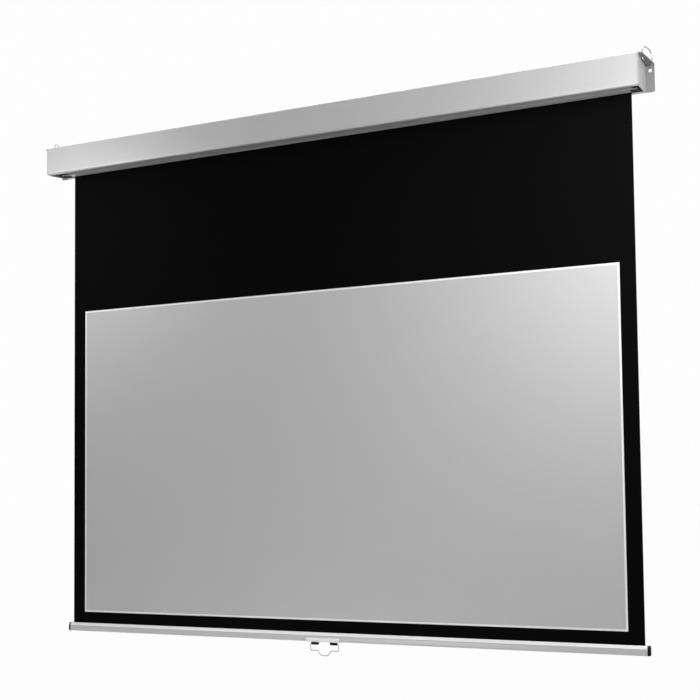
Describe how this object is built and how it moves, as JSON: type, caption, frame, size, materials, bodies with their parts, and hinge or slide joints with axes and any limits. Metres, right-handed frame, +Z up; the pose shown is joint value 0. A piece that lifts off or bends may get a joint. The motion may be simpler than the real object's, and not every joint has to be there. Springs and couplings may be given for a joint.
{
  "type": "pull down projection screen",
  "caption": "Pull down projection screen: a silver casing with a sprung ratchet roller, black-edged grey cloth, a weighted bottom bar and a wire pull handle.",
  "frame": {"origin": "middle of the casing's back face, on the wall, half way up the casing", "axes": "+X along the screen to its right end seen from the front, +Y into the wall, +Z up"},
  "size_m": [1.7964, 0.102, 1.5144],
  "materials": {
    "silver": "satin silver",
    "steel": "bright zinc-plated wire and spring steel",
    "zinc": "die-cast zinc, dull grey",
    "nylon": "natural nylon",
    "black_plastic": "moulded, fine matt",
    "screen_cloth": "matt grey projection surface inside a black border",
    "black_cloth": "matt black coated cloth"
  },
  "bodies": {
    "casing": {"casing_shell": "silver", "guide_bar": "silver", "end_cap_left": "silver", "end_cap_right": "silver", "end_plug_left": "black_plastic", "end_plug_right": "black_plastic", "hanging_loop_left": "steel", "hanging_loop_right": "steel", "spring_bracket": "zinc", "idle_bracket": "zinc", "spring_shaft": "steel", "ratchet_wheel": "steel", "spring_collar": "zinc", "torsion_spring": "steel", "idle_pin": "steel", "screen_fabric": "screen_cloth"},
    "roller": {"roller_tube": "silver", "fabric_key": "nylon", "fabric_turns": "black_cloth", "ratchet_head": "zinc", "idle_plug": "zinc", "idle_bush": "nylon"},
    "pawl_upper": {"pawl_upper": "steel"},
    "pawl_lower": {"pawl_lower": "steel"},
    "screen_bar": {"bottom_bar": "silver", "bar_cap_left": "black_plastic", "bar_cap_right": "black_plastic", "hem_rod": "nylon", "fabric_hem": "black_cloth", "handle_bracket": "silver", "handle_clip_left": "black_plastic", "handle_clip_right": "black_plastic"},
    "handle": {"pull_handle": "steel"}
  },
  "joints": [
    {"name": "screen_slide", "type": "slide", "parent": "casing", "child": "screen_bar", "axis": [0, 0, 1], "range_m": [0, 1.3477], "deforming": ["screen_fabric"]},
    {"name": "roller_turn", "type": "hinge", "parent": "casing", "child": "roller", "pos_m": [0.00495, -0.04152, 0.0055], "axis": [1, 0, 0], "range_deg": [0, 3331]},
    {"name": "pawl_upper_swing", "type": "hinge", "parent": "roller", "child": "pawl_upper", "pos_m": [-0.85115, -0.04152, 0.019], "axis": [1, 0, 0], "range_deg": [0, 12.2]},
    {"name": "pawl_lower_swing", "type": "hinge", "parent": "roller", "child": "pawl_lower", "pos_m": [-0.85115, -0.04152, -0.008], "axis": [1, 0, 0], "range_deg": [0, 12.2]},
    {"name": "handle_swing", "type": "hinge", "parent": "screen_bar", "child": "handle", "pos_m": [-0.00705, -0.02077, -1.4098], "axis": [1, 0, 0], "range_deg": [-90, 90]}
  ],
  "couplings": [
    {"joint": "roller_turn", "follows": "screen_slide", "rad_per_m": 43.125}
  ]
}
